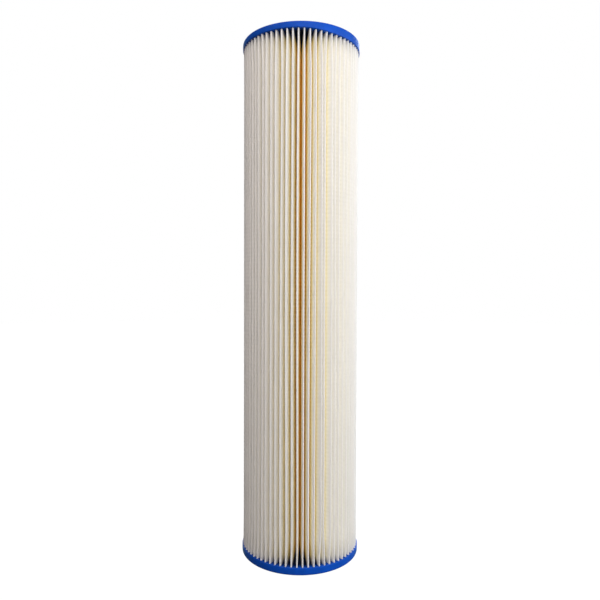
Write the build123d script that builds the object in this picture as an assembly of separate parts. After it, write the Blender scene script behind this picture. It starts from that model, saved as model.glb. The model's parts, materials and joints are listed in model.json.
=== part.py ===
from build123d import *

import os
from math import acos, degrees

# Pleated filter cartridge. A ring of deeply pleated paper media stands round a windowed core, and
# both have their ends cast into a plastisol cap. Millimetres and degrees. The origin is the centre
# of the lower cap's outer face, and +Z runs up the axis. The media's seam is on the +Y side.

# Driving dimensions
overall_length = 508.0

cap_diameter = 117.0
cap_height = 6.0
end_wall = 3.0  # plastisol between the outer face and the ends of the media and core
bore_diameter = 28.0
bore_lead_in = 0.8
outer_rim_round = 1.5
inner_rim_round = 0.5
sealing_land_width = 11.0
rim_land_width = 7.0
recess_depth = 0.6  # shallow recess between the sealing land and the rim land

pleat_count = 67
sheet_thickness = 0.5
cap_lip = 1.0  # how far the cap's rim stands out past the pleats
crest_round = 0.65
fold_round = 0.65
fold_to_core_gap = 0.4
seam_depth = 5.0  # how far the adhesive reaches in between the last two flanks

core_diameter = 50.0
core_wall = 2.5
end_band = 14.0  # plain wall between the cap and the first row of windows
joint_band = 16.0  # plain wall each side of the joint at mid length
windows_around = 12
window_width = 7.0
window_height = 10.0
window_rib = 4.0
flange_thickness = 2.0
flange_cover = 3.0  # plastisol between the bore and the core's end flange
spigot_length = 8.0
spigot_clearance = 0.1
spigot_end_gap = 0.5

# Sizes that follow from them
cap_radius = cap_diameter / 2
bore_radius = bore_diameter / 2
core_radius = core_diameter / 2
core_inner_radius = core_radius - core_wall
middle = overall_length / 2
pleat_pitch = 360 / pleat_count
crest_centre_radius = cap_radius - cap_lip - crest_round
fold_centre_radius = core_radius + fold_to_core_gap + fold_round
seam_angle = 90


def turned(point, angle):
    """The point turned about the cartridge's axis."""
    return point.rotate(Axis.Z, angle)


def mirrored(point):
    """The point on the other side of its pleat."""
    return Vector(point.X, -point.Y)


def flank(crest_radius, fold_radius):
    """Where one face of a flank leaves the crest, and where it meets the fold beside it."""
    crest_centre = Vector(crest_centre_radius, 0)
    fold_centre = turned(Vector(fold_centre_radius, 0), pleat_pitch / 2)
    run = fold_centre - crest_centre
    lean = degrees(acos((crest_radius + fold_radius) / run.length))
    normal = turned(run.normalized(), -lean)
    return crest_centre + normal * crest_radius, fold_centre - normal * fold_radius


def skin(crest_radius, fold_radius):
    """One face of the whole sheet, from one side of the seam round to the other."""
    crest_end, fold_end = flank(crest_radius, fold_radius)
    crest_top = Vector(crest_centre_radius + crest_radius, 0)
    fold_bottom = Vector(fold_centre_radius - fold_radius, 0)
    edges = []
    for pleat in range(pleat_count):
        angle = seam_angle + pleat * pleat_pitch
        next_angle = angle + pleat_pitch
        if pleat > 0:
            edges.append(
                ThreePointArc(
                    turned(mirrored(crest_end), angle),
                    turned(crest_top, angle),
                    turned(crest_end, angle),
                )
            )
        edges.append(Line(turned(crest_end, angle), turned(fold_end, angle)))
        edges.append(
            ThreePointArc(
                turned(fold_end, angle),
                turned(fold_bottom, angle + pleat_pitch / 2),
                turned(mirrored(fold_end), next_angle),
            )
        )
        edges.append(
            Line(turned(mirrored(fold_end), next_angle), turned(mirrored(crest_end), next_angle))
        )
    return edges


def full_height(section):
    """A section of the media pack, run from one cap's end wall to the other's."""
    return Pos(0, 0, end_wall) * extrude(section, overall_length - 2 * end_wall)


def pleated_media():
    """The pleated sheet, open only where the seam's adhesive joins its two ends."""
    outer_skin = skin(crest_round, fold_round - sheet_thickness)
    inner_skin = skin(crest_round - sheet_thickness, fold_round)
    start_edge = Line(outer_skin[0] @ 0, inner_skin[0] @ 0)
    finish_edge = Line(outer_skin[-1] @ 1, inner_skin[-1] @ 1)
    return full_height(make_face([*outer_skin, *inner_skin, start_edge, finish_edge]))


def media_seam_bead():
    """The adhesive that makes the seam's crest and fills the space just below it."""
    outer_crest, _ = flank(crest_round, fold_round - sheet_thickness)
    inner_crest, inner_fold = flank(crest_round - sheet_thickness, fold_round)
    root = inner_crest + (inner_fold - inner_crest).normalized() * seam_depth
    side = [outer_crest, inner_crest, root]
    right = [turned(point, seam_angle) for point in side]
    left = [turned(mirrored(point), seam_angle) for point in side]
    crest_top = turned(Vector(crest_centre_radius + crest_round, 0), seam_angle)
    crest = ThreePointArc(left[0], crest_top, right[0])
    return full_height(make_face([crest, Polyline(*right, *reversed(left))]))


def tube(outer_radius, inner_radius, bottom, top):
    """A plain ring about the axis."""
    ring = Circle(outer_radius) - Circle(inner_radius)
    return Pos(0, 0, bottom) * extrude(ring, top - bottom)


def core_windows():
    """The window cutters of the lower half, each one reaching right through the barrel."""
    lowest = cap_height + end_band
    highest = middle - joint_band
    row_pitch = window_height + window_rib
    rows = int((highest - lowest + window_rib) / row_pitch)
    spare = highest - lowest + window_rib - rows * row_pitch
    first_row = lowest + spare / 2 + window_height / 2
    cutter = Box(core_diameter + 2, window_width, window_height)
    return [
        Pos(0, 0, first_row + row * row_pitch) * Rot(0, 0, spoke * 360 / windows_around) * cutter
        for row in range(rows)
        for spoke in range(windows_around // 2)
    ]


def core_barrel():
    """Half of the core with its windows, and the end flange that backs the sealing land."""
    barrel = tube(core_radius, core_inner_radius, end_wall, middle)
    flange_hole_radius = bore_radius + flange_cover
    flange = tube(core_radius, flange_hole_radius, end_wall, end_wall + flange_thickness)
    return barrel - core_windows() + flange


def core_lower():
    """The half with the spigot."""
    socket_radius = core_radius - core_wall / 2
    spigot_radius = socket_radius - spigot_clearance
    overlap = 1.0
    spigot = tube(spigot_radius, core_inner_radius, middle - overlap, middle + spigot_length)
    return core_barrel() + spigot


def core_upper():
    """The half with the socket that takes the spigot."""
    socket_radius = core_radius - core_wall / 2
    socket_depth = spigot_length + spigot_end_gap
    socket = tube(socket_radius, core_inner_radius, middle - socket_depth, middle)
    return mirror(core_barrel() - socket, Plane.XY.offset(middle))


def cap_blank():
    """The lower cap's casting before the media and core take up their places in it."""
    recess_inner_radius = bore_radius + sealing_land_width
    recess_outer_radius = cap_radius - rim_land_width
    outline = Polyline(
        (bore_radius, cap_height),
        (bore_radius, bore_lead_in),
        (bore_radius + bore_lead_in, 0),
        (recess_inner_radius, 0),
        (recess_inner_radius, recess_depth),
        (recess_outer_radius, recess_depth),
        (recess_outer_radius, 0),
        (cap_radius, 0),
        (cap_radius, cap_height),
        close=True,
    )
    section = make_face(outline)
    rim_corners = section.vertices().group_by(Axis.X)[-1].sort_by(Axis.Y)
    section = fillet(rim_corners[0], outer_rim_round)
    rim_corners = section.vertices().group_by(Axis.X)[-1].sort_by(Axis.Y)
    section = fillet(rim_corners[-1], inner_rim_round)
    return revolve(Plane.XZ * section, Axis.Z)


def build():
    """Every piece of the cartridge, by name."""
    media = pleated_media()
    bead = media_seam_bead()
    lower_core = core_lower()
    lower_cap = cap_blank() - [media, bead, lower_core]
    return {
        "end_cap_bottom": lower_cap,
        "end_cap_top": mirror(lower_cap, Plane.XY.offset(middle)),
        "pleated_media": media,
        "media_seam_bead": bead,
        "core_lower": lower_core,
        "core_upper": core_upper(),
    }


os.makedirs("parts", exist_ok=True)
for name, piece in build().items():
    piece.label = name
    export_step(piece, f"parts/{name}.step")
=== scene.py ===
import json
import math

import bpy
import numpy as np
from bpy.props import FloatProperty, FloatVectorProperty, IntProperty, PointerProperty
from bpy.types import Operator, Panel, PropertyGroup
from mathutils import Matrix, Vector


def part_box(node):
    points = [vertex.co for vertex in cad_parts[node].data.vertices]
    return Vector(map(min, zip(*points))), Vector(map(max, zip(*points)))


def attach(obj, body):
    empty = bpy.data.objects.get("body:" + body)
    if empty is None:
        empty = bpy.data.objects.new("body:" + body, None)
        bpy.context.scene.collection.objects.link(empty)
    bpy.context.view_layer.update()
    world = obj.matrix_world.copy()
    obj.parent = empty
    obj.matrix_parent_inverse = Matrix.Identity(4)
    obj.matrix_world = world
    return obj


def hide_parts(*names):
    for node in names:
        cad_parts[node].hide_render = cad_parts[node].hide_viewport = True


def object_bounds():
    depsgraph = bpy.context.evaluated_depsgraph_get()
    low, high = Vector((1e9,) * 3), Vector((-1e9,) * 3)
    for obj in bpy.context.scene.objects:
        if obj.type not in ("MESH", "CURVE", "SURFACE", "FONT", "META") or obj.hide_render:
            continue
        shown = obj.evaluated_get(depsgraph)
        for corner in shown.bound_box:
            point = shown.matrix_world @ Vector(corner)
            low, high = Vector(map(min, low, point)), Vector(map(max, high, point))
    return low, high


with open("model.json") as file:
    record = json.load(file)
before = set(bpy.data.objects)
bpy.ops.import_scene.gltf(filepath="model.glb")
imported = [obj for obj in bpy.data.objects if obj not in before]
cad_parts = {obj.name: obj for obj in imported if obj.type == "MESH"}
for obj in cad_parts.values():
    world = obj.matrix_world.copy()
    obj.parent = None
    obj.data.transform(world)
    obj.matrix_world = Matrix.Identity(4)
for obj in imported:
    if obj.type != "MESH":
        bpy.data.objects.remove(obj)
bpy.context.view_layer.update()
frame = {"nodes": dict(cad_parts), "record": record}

bl_info = {
    "name": "Pleated Filter Cartridge",
    "version": (1, 0, 0),
    "blender": (4, 5, 0),
    "location": "View3D > Sidebar > Cartridge",
    "description": "Folds the media, casts the end caps and lights a pleated filter cartridge",
    "category": "Object",
}

MM = 0.001


# ---- sizes read from the frame ----

def node_radii(node):
    """The smallest and largest distance of a CAD node's surface from the cartridge's axis."""
    mesh = frame["nodes"][node].data
    corners = np.empty(len(mesh.vertices) * 3)
    mesh.vertices.foreach_get("co", corners)
    reach = np.hypot(corners[0::3], corners[1::3])
    return float(reach.min()), float(reach.max())


def bore_radius():
    """The radius of the caps' bore, from its mount."""
    for mount in frame["record"]["mounts"]:
        if mount["name"] == "bottom_bore":
            return mount["dims"]["r_mm"] * MM
    raise RuntimeError("the record has no mount named bottom_bore")


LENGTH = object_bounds()[1][2]
CAP_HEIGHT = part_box("end_cap_bottom")[1].z
CAP_RADIUS = node_radii("end_cap_bottom")[1]
MEDIA_BOTTOM, MEDIA_TOP = (corner.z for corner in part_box("pleated_media"))
FOLD_RADIUS, CREST_RADIUS = node_radii("pleated_media")


# ---- settings ----

class MediaSettings(PropertyGroup):
    """How the paper is folded, embossed and left to sway"""

    pleats: IntProperty(
        name="Pleats", description="How many pleats stand round the core", default=67, min=12)
    thickness: FloatProperty(
        name="Sheet thickness", description="Thickness of the filter paper",
        default=0.5 * MM, unit="LENGTH", precision=5)
    fold_round: FloatProperty(
        name="Fold radius", description="Outer radius of each crest and each inner fold at the caps",
        default=0.65 * MM, unit="LENGTH", precision=5)
    corrugation_pitch: FloatProperty(
        name="Corrugation pitch", description="Height of one wave of the paper's embossing",
        default=4 * MM, unit="LENGTH", precision=5)
    corrugation_height: FloatProperty(
        name="Corrugation height", description="How far the embossing stands off the sheet",
        default=0.09 * MM, unit="LENGTH", precision=5)
    shoulder_depth: FloatProperty(
        name="Shoulder depth", description="How far below its crest a pleat has nearly its full swell",
        default=5 * MM, unit="LENGTH", precision=5)
    flank_depth: FloatProperty(
        name="Flank depth", description="How far below its crest a pleat has all of its swell",
        default=9 * MM, unit="LENGTH", precision=5)
    swell: FloatProperty(
        name="Swell", description="Share of the gap beside it that a flank bows into between the caps",
        default=0.9, min=0.0, max=1.0, subtype="FACTOR")
    parting: FloatProperty(
        name="Parting", description="How much less the flanks bow where the pleats stand parted",
        default=0.6, min=0.0, max=1.0, subtype="FACTOR")
    parting_angle: FloatProperty(
        name="Parting angle", description="Where the pleats stand parted, from -Y towards +X",
        default=math.radians(-0.5), unit="ROTATION")
    parting_width: FloatProperty(
        name="Parting width", description="How far round the parting reaches each way",
        default=math.radians(7), unit="ROTATION")
    wander: FloatProperty(
        name="Wander", description="How far a crest may stray sideways between the caps",
        default=1.4 * MM, unit="LENGTH", precision=5)
    dip: FloatProperty(
        name="Dip", description="How far a crest may sink inwards between the caps",
        default=0.5 * MM, unit="LENGTH", precision=5)
    swell_run: FloatProperty(
        name="Swell run", description="How far from a cap the flanks reach their full bow",
        default=26 * MM, unit="LENGTH", precision=5)
    wander_run: FloatProperty(
        name="Wander run", description="How far from a cap the crests are free to stray",
        default=40 * MM, unit="LENGTH", precision=5)
    lengths: IntProperty(
        name="Lengths", description="How many lengths the sheet is made in", default=9, min=1)
    seed: IntProperty(name="Seed", description="Chooses how the pleats wander", default=11)


class CapSettings(PropertyGroup):
    """The section of the cast end caps, and how deep each one was poured"""

    rim_round: FloatProperty(
        name="Rim radius", description="Rounding of the outer corner of the rim",
        default=1.5 * MM, unit="LENGTH", precision=5)
    edge_round: FloatProperty(
        name="Edge radius", description="Rounding of the other corners of the casting",
        default=0.5 * MM, unit="LENGTH", precision=5)
    sealing_land: FloatProperty(
        name="Sealing land", description="Width of the flat ring round the bore",
        default=11 * MM, unit="LENGTH", precision=5)
    rim_land: FloatProperty(
        name="Rim land", description="Width of the flat ring inside the rim",
        default=7 * MM, unit="LENGTH", precision=5)
    recess: FloatProperty(
        name="Recess", description="Depth of the field between the two flat rings",
        default=0.6 * MM, unit="LENGTH", precision=5)
    lower_pour: FloatProperty(
        name="Lower pour", description="How much further the lower casting reaches up the pleats",
        default=1.1 * MM, unit="LENGTH", precision=5)
    upper_pour: FloatProperty(
        name="Upper pour", description="How much further the upper casting reaches down at +X",
        default=2.4 * MM, unit="LENGTH", precision=5)
    steps: IntProperty(
        name="Steps", description="Segments round the casting", default=201, min=24)


class FinishSettings(PropertyGroup):
    """Colours of the paper, the plastisol, the core and the adhesive"""

    paper_crest: FloatVectorProperty(
        name="Crest paper", description="Paper at the crests, in full light",
        subtype="COLOR", default=(0.955, 0.93, 0.895))
    # Flank paper: a step of the painted depth shading; its yellow is partly the resin's own tint,
    # partly painted bounce light between the pleats.
    paper_flank: FloatVectorProperty(
        name="Flank paper", description="Resin-stained paper on the outer flanks",
        subtype="COLOR", default=(0.97, 0.95, 0.875))
    # Deep paper: painted amber shade, standing in for light bounced between the pleats.
    deep_paper_amber_shade: FloatVectorProperty(
        name="Deep paper", description="Paper deep between the pleats",
        subtype="COLOR", default=(0.98, 0.88, 0.42))
    # Inner paper: painted amber shade, darkest near the core where the pleats are deepest.
    inner_paper_amber_shade: FloatVectorProperty(
        name="Inner paper", description="Paper near the core",
        subtype="COLOR", default=(0.98, 0.76, 0.22))
    # Stained and shaded paper: the paper near the caps turns dark navy, partly plastisol taken up,
    # partly painted shade deep between the pleats.
    paper_stained_and_shaded: FloatVectorProperty(
        name="Stained paper", description="Paper where plastisol has crept up between the pleats",
        subtype="COLOR", default=(0.012, 0.05, 0.24))
    # Painted light and shade along the embossing: light and dark bands in the colour, strongest deep
    # between the pleats.
    embossing_shade_strength: FloatProperty(
        name="Resin pooling", description="How much each embossed furrow darkens the deep paper",
        default=0.035, min=0.0, max=1.0, subtype="FACTOR")
    # How far from a cap the painted shade and the stain reach.
    stain_and_shade_reach: FloatProperty(
        name="Stain reach", description="How far from a cap the stain creeps beside the core",
        default=17 * MM, unit="LENGTH", precision=5)
    plastisol: FloatVectorProperty(
        name="Plastisol", description="The cast caps", subtype="COLOR",
        default=(0.003, 0.082, 0.54))
    # Painted shade: the caps' inner faces are darkened deep between the pleats, where shade falls.
    plastisol_painted_shade: FloatVectorProperty(
        name="Plastisol grime", description="The caps' inner faces, deep between the pleats",
        subtype="COLOR", default=(0.001, 0.006, 0.04))
    # How far inside the crests the painted shade is at its darkest.
    painted_shade_inset: FloatProperty(
        name="Grime inset", description="How far inside the crests the grime is at its darkest",
        default=6 * MM, unit="LENGTH", precision=5)
    core: FloatVectorProperty(
        name="Core", description="Natural moulded polypropylene", subtype="COLOR",
        default=(0.78, 0.78, 0.74))
    adhesive: FloatVectorProperty(
        name="Adhesive", description="The glue that closes the seam", subtype="COLOR",
        default=(0.72, 0.62, 0.40))


class StudioSettings(PropertyGroup):
    """Camera, lights and room"""

    lens: FloatProperty(
        name="Lens", description="Focal length in millimetres on a 36 mm sensor", default=33.32)
    distance: FloatProperty(
        name="Camera distance", description="From the cartridge's axis",
        default=0.5656, unit="LENGTH")
    height: FloatProperty(
        name="Camera height", description="Above the floor", default=0.2658, unit="LENGTH")
    side_step: FloatProperty(
        name="Side step", description="How far the camera stands to the left of the axis",
        default=0.55 * MM, unit="LENGTH", precision=5)
    tilt: FloatProperty(
        name="Tilt", description="How far the camera looks down",
        default=math.radians(1.227), unit="ROTATION")
    roll: FloatProperty(
        name="Roll", description="How far the camera leans about its own line of sight",
        default=math.radians(-0.195), unit="ROTATION")
    front_power: FloatProperty(
        name="Front light", description="Power of the light above the camera",
        default=4.7, unit="POWER")
    top_power: FloatProperty(
        name="Top light", description="Power of the high light in front", default=3.8, unit="POWER")
    fill_power: FloatProperty(
        name="Fill light", description="Power of the high light at the left", default=3.0, unit="POWER")
    key_power: FloatProperty(
        name="Key light", description="Power of the light at the front right",
        default=5.3, unit="POWER")
    side_power: FloatProperty(
        name="Side light", description="Power of the light at the right", default=5.3, unit="POWER")
    rim_power: FloatProperty(
        name="Rim light", description="Power of the light past the right edge",
        default=1.0, unit="POWER")
    back_power: FloatProperty(
        name="Back light", description="Power of the light behind", default=12.0, unit="POWER")
    back_fill_power: FloatProperty(
        name="Back fill light", description="Power of the weaker light behind", default=7.0,
        unit="POWER")
    ambient: FloatProperty(
        name="Ambient", description="Brightness of the pale room", default=0.04)


# ---- node groups and materials ----

def group_socket(group, name, direction, kind, value=None):
    """A named input or output of a node group, with its default if it has one."""
    socket = group.interface.new_socket(name=name, in_out=direction, socket_type=kind)
    if value is not None:
        socket.default_value = value


def arithmetic(tree, operation, *values):
    """The result of one operation on values that are sockets or plain numbers."""
    node = tree.nodes.new("ShaderNodeMath")
    node.operation = operation
    for socket, value in zip(node.inputs, values):
        if isinstance(value, bpy.types.NodeSocket):
            tree.links.new(value, socket)
        else:
            socket.default_value = value
    return node.outputs["Value"]


def grain_group():
    """Fine grain and broad mottling of a surface, each between 0 and 1."""
    group = bpy.data.node_groups.get("Surface Grain")
    if group:
        return group
    group = bpy.data.node_groups.new("Surface Grain", "ShaderNodeTree")
    group_socket(group, "Vector", "INPUT", "NodeSocketVector")
    group_socket(group, "Grain Scale", "INPUT", "NodeSocketFloat", 900.0)
    group_socket(group, "Mottle Scale", "INPUT", "NodeSocketFloat", 60.0)
    group_socket(group, "Grain", "OUTPUT", "NodeSocketFloat")
    group_socket(group, "Mottle", "OUTPUT", "NodeSocketFloat")
    start = group.nodes.new("NodeGroupInput")
    end = group.nodes.new("NodeGroupOutput")
    for scale, output, detail in (("Grain Scale", "Grain", 3.0), ("Mottle Scale", "Mottle", 2.0)):
        noise = group.nodes.new("ShaderNodeTexNoise")
        noise.inputs["Detail"].default_value = detail
        noise.inputs["Roughness"].default_value = 0.6
        group.links.new(start.outputs["Vector"], noise.inputs["Vector"])
        group.links.new(start.outputs[scale], noise.inputs["Scale"])
        group.links.new(noise.outputs["Fac"], end.inputs[output])
    return group


def position_group():
    """A point's distance from the cartridge's axis, its clearance from the nearer cap, its height."""
    group = bpy.data.node_groups.get("Cartridge Position")
    if group:
        return group
    group = bpy.data.node_groups.new("Cartridge Position", "ShaderNodeTree")
    group_socket(group, "Vector", "INPUT", "NodeSocketVector")
    group_socket(group, "Radius", "OUTPUT", "NodeSocketFloat")
    group_socket(group, "Clearance", "OUTPUT", "NodeSocketFloat")
    group_socket(group, "Height", "OUTPUT", "NodeSocketFloat")
    start = group.nodes.new("NodeGroupInput")
    end = group.nodes.new("NodeGroupOutput")
    parts = group.nodes.new("ShaderNodeSeparateXYZ")
    group.links.new(start.outputs["Vector"], parts.inputs["Vector"])
    x_squared = arithmetic(group, "MULTIPLY", parts.outputs["X"], parts.outputs["X"])
    squares = arithmetic(group, "MULTIPLY_ADD", parts.outputs["Y"], parts.outputs["Y"], x_squared)
    group.links.new(arithmetic(group, "SQRT", squares), end.inputs["Radius"])
    from_middle = arithmetic(group, "SUBTRACT", parts.outputs["Z"], LENGTH / 2)
    reach = arithmetic(group, "ABSOLUTE", from_middle)
    clearance = arithmetic(group, "SUBTRACT", LENGTH / 2 - CAP_HEIGHT, reach)
    group.links.new(clearance, end.inputs["Clearance"])
    group.links.new(parts.outputs["Z"], end.inputs["Height"])
    return group


def new_material(name):
    """A material with its node tree, its main shader and its Object coordinates."""
    material = bpy.data.materials.new(name)
    material.use_nodes = True
    tree = material.node_tree
    shader = tree.nodes["Principled BSDF"]
    place = tree.nodes.new("ShaderNodeTexCoord").outputs["Object"]
    return material, tree, shader, place


def add_grain(tree, place, grain_scale, mottle_scale):
    """The grain group, placed in a material with its two scales."""
    node = tree.nodes.new("ShaderNodeGroup")
    node.node_tree = grain_group()
    node.inputs["Grain Scale"].default_value = grain_scale
    node.inputs["Mottle Scale"].default_value = mottle_scale
    tree.links.new(place, node.inputs["Vector"])
    return node


def add_position(tree, place):
    """The position group, placed in a material."""
    node = tree.nodes.new("ShaderNodeGroup")
    node.node_tree = position_group()
    tree.links.new(place, node.inputs["Vector"])
    return node


def mapped(tree, value, low, high, start=0.0, finish=1.0, kind="LINEAR"):
    """The value, as it goes from start to finish, stretched to run from low to high."""
    node = tree.nodes.new("ShaderNodeMapRange")
    node.interpolation_type = kind
    node.inputs["From Min"].default_value = start
    node.inputs["From Max"].default_value = finish
    node.inputs["To Min"].default_value = low
    node.inputs["To Max"].default_value = high
    tree.links.new(value, node.inputs["Value"])
    return node.outputs["Result"]


def tinted(tree, mode, factor, first, second):
    """Two colours mixed; each may be a socket or a plain colour, and the factor a socket or number."""
    node = tree.nodes.new("ShaderNodeMix")
    node.data_type = "RGBA"
    node.blend_type = mode
    factor_socket, first_socket, second_socket = node.inputs[0], node.inputs[6], node.inputs[7]
    for socket, value in ((factor_socket, factor), (first_socket, first), (second_socket, second)):
        if isinstance(value, bpy.types.NodeSocket):
            tree.links.new(value, socket)
        elif isinstance(value, float):
            socket.default_value = value
        else:
            socket.default_value = (*value, 1.0)
    return node.outputs[2]


def bumped(tree, shader, height, strength, distance):
    """Lets a height roughen the shader's normal; the distance is the height's full range."""
    node = tree.nodes.new("ShaderNodeBump")
    node.inputs["Strength"].default_value = strength
    node.inputs["Distance"].default_value = distance
    tree.links.new(height, node.inputs["Height"])
    tree.links.new(node.outputs["Normal"], shader.inputs["Normal"])


def paper_tint_and_depth_shade(tree, finish, openness):
    """The paper's colour by depth: off-white at the crests, its own colour, deepening to amber towards
    the core as painted shade of light bounced between the pleats.
    """
    stops = (
        (0.45, finish.inner_paper_amber_shade),
        (0.70, finish.deep_paper_amber_shade),
        (0.88, finish.paper_flank),
        (0.985, finish.paper_crest),
    )
    ramp = tree.nodes.new("ShaderNodeValToRGB")
    while len(ramp.color_ramp.elements) < len(stops):
        ramp.color_ramp.elements.new(0.5)
    for element, (place_on_ramp, colour) in zip(ramp.color_ramp.elements, stops):
        element.position = place_on_ramp
        element.color = (*colour, 1.0)
    tree.links.new(openness, ramp.inputs["Fac"])
    return ramp.outputs["Color"]


def stain_and_painted_shade(tree, finish, openness, clearance):
    """How much the paper is darkened next to a cap, most beside the core: partly plastisol taken up,
    partly painted shade deep between the pleats.
    """
    reach = mapped(tree, openness, finish.stain_and_shade_reach, 0.3 * finish.stain_and_shade_reach)
    height_share = arithmetic(tree, "DIVIDE", clearance, reach)
    near_cap = mapped(tree, height_share, 1.0, 0.0, kind="SMOOTHSTEP")
    inward = mapped(tree, openness, 1.0, 0.0, 0.80, 0.975)
    return arithmetic(tree, "MULTIPLY", near_cap, inward)


def painted_embossing_shade(tree, finish, openness, height):
    """Light and dark bands, about 1, painted along the embossing as its light and shade, weaker towards
    the crests.
    """
    pitch = bpy.context.scene.cartridge_media.corrugation_pitch
    turns = arithmetic(tree, "MULTIPLY", height, 2 * math.pi / pitch)
    strength = mapped(tree, openness, finish.embossing_shade_strength, 0.1 * finish.embossing_shade_strength, 0.65, 0.92)
    return arithmetic(tree, "MULTIPLY_ADD", arithmetic(tree, "SINE", turns), strength, 1.0)


def paper_material(finish):
    """Resin-stiffened filter paper: painted amber shade deep between pleats, darker near the caps
    partly from plastisol stain and partly as painted shade, with painted bands along the embossing.
    """
    material, tree, shader, place = new_material("Pleated Paper")
    grain = add_grain(tree, place, 1400.0, 45.0)
    position = add_position(tree, place)
    openness = mapped(tree, position.outputs["Radius"], 0.0, 1.0, FOLD_RADIUS, CREST_RADIUS)
    # Darker near the caps deep between the pleats: partly plastisol stain, partly painted shade.
    stain_and_shade = stain_and_painted_shade(tree, finish, openness, position.outputs["Clearance"])
    paper = tinted(tree, "MIX", stain_and_shade, paper_tint_and_depth_shade(tree, finish, openness), finish.paper_stained_and_shaded)
    fibres = mapped(tree, grain.outputs["Grain"], 0.93, 1.04)
    # Painted light and shade in bands along the embossing's furrows.
    embossing_shade = painted_embossing_shade(tree, finish, openness, position.outputs["Height"])
    shading = arithmetic(tree, "MULTIPLY", fibres, embossing_shade)
    tree.links.new(tinted(tree, "MULTIPLY", 1.0, paper, shading), shader.inputs["Base Color"])
    tree.links.new(mapped(tree, grain.outputs["Mottle"], 0.70, 0.90), shader.inputs["Roughness"])
    bumped(tree, shader, grain.outputs["Grain"], 0.35, 0.12 * MM)
    shader.inputs["Specular IOR Level"].default_value = 0.25
    return material


def plastisol_material(finish):
    """Cast blue vinyl, satin and faintly clouded, with painted shade where it lies between the pleats.
    """
    material, tree, shader, place = new_material("Cast Plastisol")
    grain = add_grain(tree, place, 700.0, 120.0)
    position = add_position(tree, place)
    clouds = mapped(tree, grain.outputs["Mottle"], 0.78, 1.22)
    colour = tinted(tree, "MULTIPLY", 1.0, finish.plastisol, clouds)
    # Painted shade: the inner face darkens towards the core, deep between the pleats.
    darkest = CREST_RADIUS - finish.painted_shade_inset
    inner_face = mapped(tree, position.outputs["Clearance"], 0.0, 1.0, -1.2 * MM, -0.2 * MM)
    inward = mapped(tree, position.outputs["Radius"], 0.97, 0.0, darkest, CAP_RADIUS)
    painted_shade_mask = arithmetic(tree, "MULTIPLY", inner_face, inward)
    painted_shade_colour = tinted(tree, "MIX", painted_shade_mask, colour, finish.plastisol_painted_shade)
    tree.links.new(painted_shade_colour, shader.inputs["Base Color"])
    tree.links.new(mapped(tree, grain.outputs["Grain"], 0.38, 0.52), shader.inputs["Roughness"])
    bumped(tree, shader, grain.outputs["Mottle"], 0.35, 0.2 * MM)
    shader.inputs["Specular IOR Level"].default_value = 0.14
    shader.inputs["Sheen Weight"].default_value = 0.3
    shader.inputs["Sheen Roughness"].default_value = 0.35
    shader.inputs["Sheen Tint"].default_value = (0.30, 0.75, 1.0, 1.0)
    return material


def core_material(finish):
    """Natural polypropylene, slightly milky."""
    material, tree, shader, place = new_material("Moulded Core")
    grain = add_grain(tree, place, 500.0, 40.0)
    clouds = mapped(tree, grain.outputs["Mottle"], 0.94, 1.05)
    colour = tinted(tree, "MULTIPLY", 1.0, finish.core, clouds)
    tree.links.new(colour, shader.inputs["Base Color"])
    tree.links.new(mapped(tree, grain.outputs["Grain"], 0.38, 0.55), shader.inputs["Roughness"])
    bumped(tree, shader, grain.outputs["Grain"], 0.2, 0.05 * MM)
    return material


def adhesive_material(finish):
    """Set glue, amber and shiny, with a lumpy skin."""
    material, tree, shader, place = new_material("Seam Adhesive")
    grain = add_grain(tree, place, 300.0, 90.0)
    clouds = mapped(tree, grain.outputs["Mottle"], 0.8, 1.15)
    colour = tinted(tree, "MULTIPLY", 1.0, finish.adhesive, clouds)
    tree.links.new(colour, shader.inputs["Base Color"])
    tree.links.new(mapped(tree, grain.outputs["Grain"], 0.16, 0.34), shader.inputs["Roughness"])
    bumped(tree, shader, grain.outputs["Mottle"], 0.5, 0.2 * MM)
    return material


def kept_material(name, make, finish):
    """The material of that name, made the first time that it is asked for."""
    return bpy.data.materials.get(name) or make(finish)


# ---- shaping helpers ----

def deselect_all():
    """Clears the selection, so that the next operator acts on its own new piece only."""
    for item in bpy.context.selected_objects:
        item.select_set(False)


def finish_piece(piece, material, slot, *nodes):
    """Gives a finished piece its material and its body, and hides the CAD nodes that it stands for."""
    piece.data.materials.clear()
    piece.data.materials.append(material)
    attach(piece, "root")
    if nodes:
        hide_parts(*nodes)


def dress_cad_node(node, material):
    """Gives a CAD node that stays as it is its finished material."""
    piece = frame["nodes"][node]
    for slot in piece.material_slots:
        slot.material = material


def eased(distance, run):
    """0 at the cap, rising smoothly to 1 once the distance reaches the run."""
    share = np.clip(distance / run, 0.0, 1.0)
    return share * share * (3.0 - 2.0 * share)


# ---- media ----

# Each pleat has twelve columns of points: the valley on its left, five up its left side, its crest
# and five down its right side. The last column joins on to the next pleat's valley.
COLUMNS_PER_PLEAT = 12
LEFT_VALLEY = 0
LEFT_FLANK = 2
LEFT_OF_CREST = 4
CREST = 6
RIGHT_OF_CREST = 8


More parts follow.
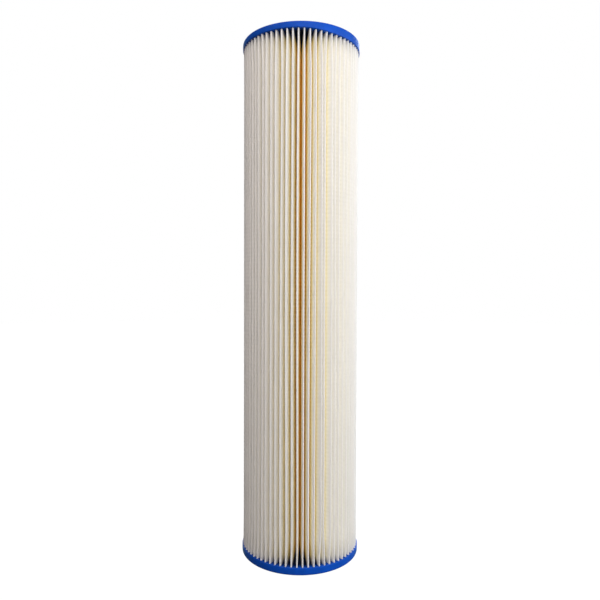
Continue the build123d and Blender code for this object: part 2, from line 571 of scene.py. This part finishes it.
def half_pleat(media):
    """The stations of half a pleat, from its crest down to its foot.

    Each one has its radius, its half width at the caps, the share of the swell that it takes, and
    the shares of the embossing that push it outwards and sideways.
    """
    crest_centre = CREST_RADIUS - media.fold_round
    foot_radius = FOLD_RADIUS + media.fold_round
    foot_gap = media.fold_round - media.thickness
    foot_width = foot_radius * math.sin(math.pi / media.pleats) - foot_gap
    halfway_round = media.fold_round * math.sqrt(0.5)
    shoulder = CREST_RADIUS - media.shoulder_depth
    flank = CREST_RADIUS - media.flank_depth

    def straight(radius):
        share = (crest_centre - radius) / (crest_centre - foot_radius)
        return media.fold_round + share * (foot_width - media.fold_round)

    return np.array([
        (CREST_RADIUS, 0.0, 0.0, 0.4, 0.0),
        (crest_centre + halfway_round, halfway_round, 0.02, 0.3, 0.5),
        (crest_centre, media.fold_round, 0.05, 0.0, 1.0),
        (shoulder, straight(shoulder), 0.70, 0.0, 1.0),
        (flank, straight(flank), 1.0, 0.0, 0.8),
        (foot_radius, foot_width, 0.0, 0.0, 0.2),
    ])


def slow_waves(random, pleats, height_share, sizes):
    """For each pleat, a few long waves from one cap to the other, with random sizes, as -1 to 1."""
    total = np.zeros((len(height_share), pleats))
    for order, size in enumerate(sizes):
        total += np.cos(order * math.pi * height_share)[:, None] * random.normal(0, size, pleats)
    return np.tanh(total)


def parting_share(media, angle):
    """How much less each pleat bows, by its angle: most where the pleats stand parted."""
    turn = 2 * math.pi
    from_parting = np.remainder(angle + math.pi / 2 - media.parting_angle + math.pi, turn) - math.pi
    return media.parting * np.exp(-(from_parting / media.parting_width) ** 2)


def folded_sheet(media):
    """Where every column of the outer face of the sheet runs, as (row, column, xyz)."""
    rows = round((MEDIA_TOP - MEDIA_BOTTOM) / (media.corrugation_pitch / 4)) + 1
    height = np.linspace(MEDIA_BOTTOM, MEDIA_TOP, rows)
    share = height / LENGTH
    clear = np.minimum(height - CAP_HEIGHT, LENGTH - CAP_HEIGHT - height)
    near = eased(clear, media.swell_run)[:, None]
    far = eased(clear, media.wander_run)[:, None]
    random = np.random.RandomState(media.seed)
    pleats = media.pleats
    pitch = 2 * math.pi / pleats
    angle = math.pi / 2 + pitch * np.arange(pleats)

    free = np.ones(pleats)
    free[0] = 0.0  # the seam's pleat stays straight on its bead
    swell_spread = 0.15
    shift = media.wander * slow_waves(random, pleats, share, (0.9, 0.3, 0.15)) * far * free
    swell = media.swell + swell_spread * slow_waves(random, pleats, share, (0.8, 0.3, 0.2))
    dip = media.dip * (0.5 + 0.5 * slow_waves(random, pleats, share, (0.8, 0.5))) * far * free
    phase = random.normal(0, 0.2, pleats)
    wave = np.sin(2 * math.pi * height[:, None] / media.corrugation_pitch + phase)
    emboss = media.corrugation_height * wave * near * free
    swell = np.clip(swell * (1.0 - parting_share(media, angle)), 0.0, 1.0) * near * free

    to_next = np.roll(shift, -1, axis=1) - shift
    to_last = shift - np.roll(shift, 1, axis=1)
    # Shares of the half gap beside it that a flank may fill, by its bow and in all.
    bowed_limit = 0.94
    touching_limit = 0.97
    sheet = np.empty((rows, pleats, COLUMNS_PER_PLEAT, 3))
    for index, (radius, width, swell_share, out_share, side_share) in enumerate(half_pleat(media)):
        lean = (radius - FOLD_RADIUS) / (CREST_RADIUS - FOLD_RADIUS)
        reach = radius - dip * lean + emboss * out_share
        for side, gap in ((1, to_next), (-1, to_last)):
            room = 0.5 * (radius * pitch + gap * lean)
            offset = width + swell * swell_share * (bowed_limit * room - width) + emboss * side_share
            offset = np.minimum(offset, touching_limit * room)
            sideways = shift * lean + side * offset
            column = CREST + side * index
            sheet[:, :, column, 0] = reach * np.cos(angle) - sideways * np.sin(angle)
            sheet[:, :, column, 1] = reach * np.sin(angle) + sideways * np.cos(angle)
    valley_radius = FOLD_RADIUS + media.thickness
    sheet[:, :, LEFT_VALLEY, 0] = valley_radius * np.cos(angle - pitch / 2)
    sheet[:, :, LEFT_VALLEY, 1] = valley_radius * np.sin(angle - pitch / 2)
    sheet[..., 2] = height[:, None, None]
    sheet = sheet.reshape(rows, pleats * COLUMNS_PER_PLEAT, 3)
    return np.concatenate([sheet, sheet[:, :COLUMNS_PER_PLEAT]], axis=1)


def fold_length(name, path, media, material):
    """One length of the sheet: a flat grid carried to its folded place, then given its thickness."""
    rows, columns = path.shape[:2]
    deselect_all()
    bpy.ops.mesh.primitive_grid_add(x_subdivisions=columns - 1, y_subdivisions=rows - 1, size=1)
    piece = bpy.context.object
    piece.name = name
    mesh = piece.data
    if len(mesh.vertices) != rows * columns:
        raise RuntimeError(f"{name}: the grid has {len(mesh.vertices)} points, not {rows * columns}")
    flat = np.empty(len(mesh.vertices) * 3)
    mesh.vertices.foreach_get("co", flat)
    column = np.rint((flat[0::3] + 0.5) * (columns - 1)).astype(int)
    row = np.rint((flat[1::3] + 0.5) * (rows - 1)).astype(int)
    mesh.vertices.foreach_set("co", path[row, column].ravel())
    mesh.update()
    solid = piece.modifiers.new("Thickness", "SOLIDIFY")
    solid.thickness = media.thickness
    solid.offset = -1
    bpy.ops.object.modifier_apply(modifier=solid.name)
    bpy.ops.object.shade_smooth_by_angle(angle=math.radians(75))
    finish_piece(piece, material, "media_paper", "pleated_media")


class CARTRIDGE_OT_fold_media(Operator):
    """Fold the corrugated paper into its ring of pleats, open at the seam"""

    bl_idname = "cartridge.fold_media"
    bl_label = "Fold Media"

    def execute(self, context):
        media = context.scene.cartridge_media
        material = kept_material("Pleated Paper", paper_material, context.scene.cartridge_finish)
        sheet = folded_sheet(media)
        cuts = [RIGHT_OF_CREST]
        for index in range(1, media.lengths):
            pleat = round(media.pleats * index / media.lengths)
            cuts.append(pleat * COLUMNS_PER_PLEAT + LEFT_FLANK)
        cuts.append(media.pleats * COLUMNS_PER_PLEAT + LEFT_OF_CREST)
        for index in range(media.lengths):
            path = sheet[:, cuts[index]:cuts[index + 1] + 1]
            fold_length(f"pleats_{index + 1}", path, media, material)
        return {"FINISHED"}


class CARTRIDGE_OT_glue_seam(Operator):
    """Finish the adhesive that closes the sheet into a ring"""

    bl_idname = "cartridge.glue_seam"
    bl_label = "Glue Seam"

    def execute(self, context):
        material = kept_material("Seam Adhesive", adhesive_material, context.scene.cartridge_finish)
        dress_cad_node("media_seam_bead", material)
        return {"FINISHED"}


# ---- end caps ----

def lathe(name, outline, steps):
    """A ring turned about the axis from a closed outline of (radius, height) points."""
    deselect_all()
    first = outline[0]
    bpy.ops.mesh.primitive_plane_add(size=MM, location=(first[0], 0, first[1]))
    piece = bpy.context.object
    piece.name = name
    bpy.ops.object.transform_apply(location=True, rotation=True, scale=True)
    bpy.ops.object.mode_set(mode="EDIT")
    bpy.ops.mesh.select_mode(type="VERT")
    bpy.ops.mesh.select_all(action="SELECT")
    bpy.ops.mesh.merge(type="CENTER")
    here = first
    for point in [*outline[1:], first]:
        move = (point[0] - here[0], 0, point[1] - here[1])
        bpy.ops.mesh.extrude_region_move(TRANSFORM_OT_translate={"value": move})
        here = point
    bpy.ops.mesh.select_all(action="SELECT")
    bpy.ops.mesh.remove_doubles(threshold=0.01 * MM)
    bpy.ops.mesh.select_all(action="SELECT")
    bpy.ops.mesh.spin(steps=steps, angle=2 * math.pi, center=(0, 0, 0), axis=(0, 0, 1))
    bpy.ops.mesh.select_all(action="SELECT")
    bpy.ops.mesh.remove_doubles(threshold=0.01 * MM)
    bpy.ops.mesh.normals_make_consistent(inside=False)
    bpy.ops.object.mode_set(mode="OBJECT")
    return piece


def rounded_corner(radius, corner, turn_from, turns=5):
    """Points of a quarter round about a corner of an outline, swept from one angle by 90 degrees."""
    centre_r = corner[0] - radius * math.copysign(1, math.cos(turn_from + math.pi / 4))
    centre_z = corner[1] - radius * math.copysign(1, math.sin(turn_from + math.pi / 4))
    points = []
    for step in range(turns + 1):
        angle = turn_from + math.pi / 2 * step / turns
        points.append((centre_r + radius * math.cos(angle), centre_z + radius * math.sin(angle)))
    return points


def cap_outline(cap):
    """The lower cap's section, anticlockwise from the foot of its bore."""
    bore = bore_radius()
    edge = cap.edge_round
    step = 0.4 * edge
    recess_inner = bore + cap.sealing_land
    recess_outer = CAP_RADIUS - cap.rim_land
    quarter = math.pi / 2
    outline = rounded_corner(edge, (bore, 0), -2 * quarter)
    outline += [(recess_inner - edge, 0), (recess_inner, step), (recess_inner + edge, cap.recess)]
    outline += [(recess_outer - edge, cap.recess), (recess_outer, step), (recess_outer + edge, 0)]
    outline += rounded_corner(cap.rim_round, (CAP_RADIUS, 0), -quarter)
    outline += rounded_corner(edge, (CAP_RADIUS, CAP_HEIGHT), 0)
    outline += rounded_corner(edge, (bore, CAP_HEIGHT), quarter)
    return outline


def pour_deeper(piece, amount, start_x, full_x):
    """Lets a casting reach further along the pleats, by an amount that grows from start_x to full_x."""
    mesh = piece.data
    points = np.empty(len(mesh.vertices) * 3)
    mesh.vertices.foreach_get("co", points)
    x = points[0::3]
    z = points[2::3]
    inner_edge = 0.6 * MM  # a little more than the rounding at the inner face
    inner_face = np.minimum(z, LENGTH - z) > CAP_HEIGHT - inner_edge
    z += inner_face * np.sign(LENGTH / 2 - z) * amount * eased(x - start_x, full_x - start_x)
    mesh.vertices.foreach_set("co", points)
    mesh.update()


class CARTRIDGE_OT_cast_caps(Operator):
    """Cast both plastisol end caps"""

    bl_idname = "cartridge.cast_caps"
    bl_label = "Cast End Caps"

    def execute(self, context):
        cap = context.scene.cartridge_cap
        material = kept_material("Cast Plastisol", plastisol_material, context.scene.cartridge_finish)
        lower = cap_outline(cap)
        upper = [(radius, LENGTH - height) for radius, height in lower]
        # The lower casting is deeper all over, the upper one only towards +X.
        castings = (
            ("end_cap_bottom", lower, cap.lower_pour, -2 * CAP_RADIUS, -CAP_RADIUS),
            ("end_cap_top", upper, cap.upper_pour, -5 * MM, 40 * MM),
        )
        for node, outline, pour, start_x, full_x in castings:
            piece = lathe(f"{node}_casting", outline, cap.steps)
            pour_deeper(piece, pour, start_x, full_x)
            bpy.ops.object.shade_smooth_by_angle(angle=math.radians(40))
            finish_piece(piece, material, "cap_plastisol", node)
        return {"FINISHED"}


# ---- core ----

class CARTRIDGE_OT_finish_core(Operator):
    """Finish the two halves of the windowed core"""

    bl_idname = "cartridge.finish_core"
    bl_label = "Finish Core"

    def execute(self, context):
        material = kept_material("Moulded Core", core_material, context.scene.cartridge_finish)
        for node in ("core_lower", "core_upper"):
            dress_cad_node(node, material)
        return {"FINISHED"}


# ---- studio ----

def pale_room(strength):
    """A room that is plain white to the camera and lights the cartridge more softly."""
    world = bpy.data.worlds.new("Pale Room")
    bpy.context.scene.world = world
    world.use_nodes = True
    tree = world.node_tree
    lighting = tree.nodes["Background"]
    lighting.inputs["Color"].default_value = (1.0, 1.0, 1.0, 1.0)
    lighting.inputs["Strength"].default_value = strength
    seen = tree.nodes.new("ShaderNodeBackground")
    seen.inputs["Color"].default_value = (1.0, 1.0, 1.0, 1.0)
    mix = tree.nodes.new("ShaderNodeMixShader")
    path = tree.nodes.new("ShaderNodeLightPath")
    tree.links.new(path.outputs["Is Camera Ray"], mix.inputs["Fac"])
    tree.links.new(lighting.outputs["Background"], mix.inputs[1])
    tree.links.new(seen.outputs["Background"], mix.inputs[2])
    tree.links.new(mix.outputs["Shader"], tree.nodes["World Output"].inputs["Surface"])


def pale_floor():
    """A plain floor that stays near white round the cartridge and keeps a faint shadow."""
    deselect_all()
    bpy.ops.mesh.primitive_circle_add(vertices=64, radius=4, fill_type="NGON", location=(0, 0, 0))
    floor = bpy.context.object
    floor.name = "floor"
    material = bpy.data.materials.new("Pale Floor")
    material.use_nodes = True
    tree = material.node_tree
    shader = tree.nodes["Principled BSDF"]
    shader.inputs["Base Color"].default_value = (0.15, 0.15, 0.15, 1.0)
    shader.inputs["Roughness"].default_value = 0.9
    shader.inputs["Specular IOR Level"].default_value = 0.0
    glow = tree.nodes.new("ShaderNodeEmission")
    glow.inputs["Strength"].default_value = 1.2
    path = tree.nodes.new("ShaderNodeLightPath")
    share = arithmetic(tree, "MULTIPLY", path.outputs["Is Camera Ray"], 0.85)
    mix = tree.nodes.new("ShaderNodeMixShader")
    tree.links.new(share, mix.inputs["Fac"])
    tree.links.new(shader.outputs["BSDF"], mix.inputs[1])
    tree.links.new(glow.outputs["Emission"], mix.inputs[2])
    tree.links.new(mix.outputs["Shader"], tree.nodes["Material Output"].inputs["Surface"])
    floor.data.materials.append(material)


def soft_light(name, power, colour, place, target):
    """A large square light at a place, turned to face a target."""
    lamp = bpy.data.lights.new(name, "AREA")
    lamp.energy = power
    lamp.color = colour
    lamp.size = 0.8
    item = bpy.data.objects.new(name, lamp)
    bpy.context.scene.collection.objects.link(item)
    item.location = place
    aim = Vector(target) - item.location
    item.rotation_euler = aim.to_track_quat("-Z", "Y").to_euler()


class CARTRIDGE_OT_set_studio(Operator):
    """Set the floor, the lights and the camera"""

    bl_idname = "cartridge.set_studio"
    bl_label = "Set Studio"

    def execute(self, context):
        studio = context.scene.cartridge_studio
        pale_room(studio.ambient)
        pale_floor()
        upper_half = (0, 0, 0.6 * LENGTH)
        upper_end = (0, 0, LENGTH)
        warm = (1.0, 0.955, 0.95)
        rosy = (1.0, 0.90, 0.87)
        cool = (0.92, 0.965, 1.0)
        soft_light("front", studio.front_power, warm, (0.12, -1.15, 0.62), upper_half)
        soft_light("top", studio.top_power, warm, (0.1, -0.75, 1.25), upper_half)
        soft_light("fill", studio.fill_power, rosy, (-0.7, -0.6, 1.25), upper_half)
        soft_light("key", studio.key_power, cool, (0.92, -0.77, 0.6), upper_half)
        soft_light("side", studio.side_power, cool, (1.18, -0.2, 0.5), upper_half)
        soft_light("rim", studio.rim_power, cool, (1.15, 0.3, 0.85), upper_end)
        soft_light("back", studio.back_power, cool, (0.45, 1.15, 0.8), upper_half)
        soft_light("back_fill", studio.back_fill_power, warm, (-0.45, 1.3, 0.35), upper_half)
        camera_data = bpy.data.cameras.new("camera")
        camera_data.lens = studio.lens
        camera_data.sensor_width = 36
        camera = bpy.data.objects.new("camera", camera_data)
        context.scene.collection.objects.link(camera)
        camera.location = (-studio.side_step, -studio.distance, studio.height)
        camera.rotation_euler = (math.pi / 2 - studio.tilt, studio.roll, 0)
        context.scene.camera = camera
        context.scene.view_settings.view_transform = "Standard"
        context.scene.cycles.max_bounces = 16
        context.scene.cycles.diffuse_bounces = 12
        return {"FINISHED"}


# ---- panel and registration ----

BUILD_STEPS = (
    CARTRIDGE_OT_set_studio,
    CARTRIDGE_OT_fold_media,
    CARTRIDGE_OT_glue_seam,
    CARTRIDGE_OT_cast_caps,
    CARTRIDGE_OT_finish_core,
)
SETTINGS = {
    "cartridge_media": MediaSettings,
    "cartridge_cap": CapSettings,
    "cartridge_finish": FinishSettings,
    "cartridge_studio": StudioSettings,
}


class CARTRIDGE_PT_build(Panel):
    """Lists the steps that build the cartridge, with their settings"""

    bl_label = "Filter Cartridge"
    bl_space_type = "VIEW_3D"
    bl_region_type = "UI"
    bl_category = "Cartridge"

    def draw(self, context):
        for step in BUILD_STEPS:
            self.layout.operator(step.bl_idname)
        for attribute, group in SETTINGS.items():
            box = self.layout.box()
            settings = getattr(context.scene, attribute)
            for name in group.__annotations__:
                box.prop(settings, name)


CLASSES = (*SETTINGS.values(), *BUILD_STEPS, CARTRIDGE_PT_build)


def register():
    for item in CLASSES:
        bpy.utils.register_class(item)
    for attribute, group in SETTINGS.items():
        setattr(bpy.types.Scene, attribute, PointerProperty(type=group))


def unregister():
    for attribute in SETTINGS:
        delattr(bpy.types.Scene, attribute)
    for item in reversed(CLASSES):
        bpy.utils.unregister_class(item)


def main():
    register()
    bpy.ops.cartridge.set_studio()
    bpy.ops.cartridge.fold_media()
    bpy.ops.cartridge.glue_seam()
    bpy.ops.cartridge.cast_caps()
    bpy.ops.cartridge.finish_core()


if __name__ == "__main__":
    main()
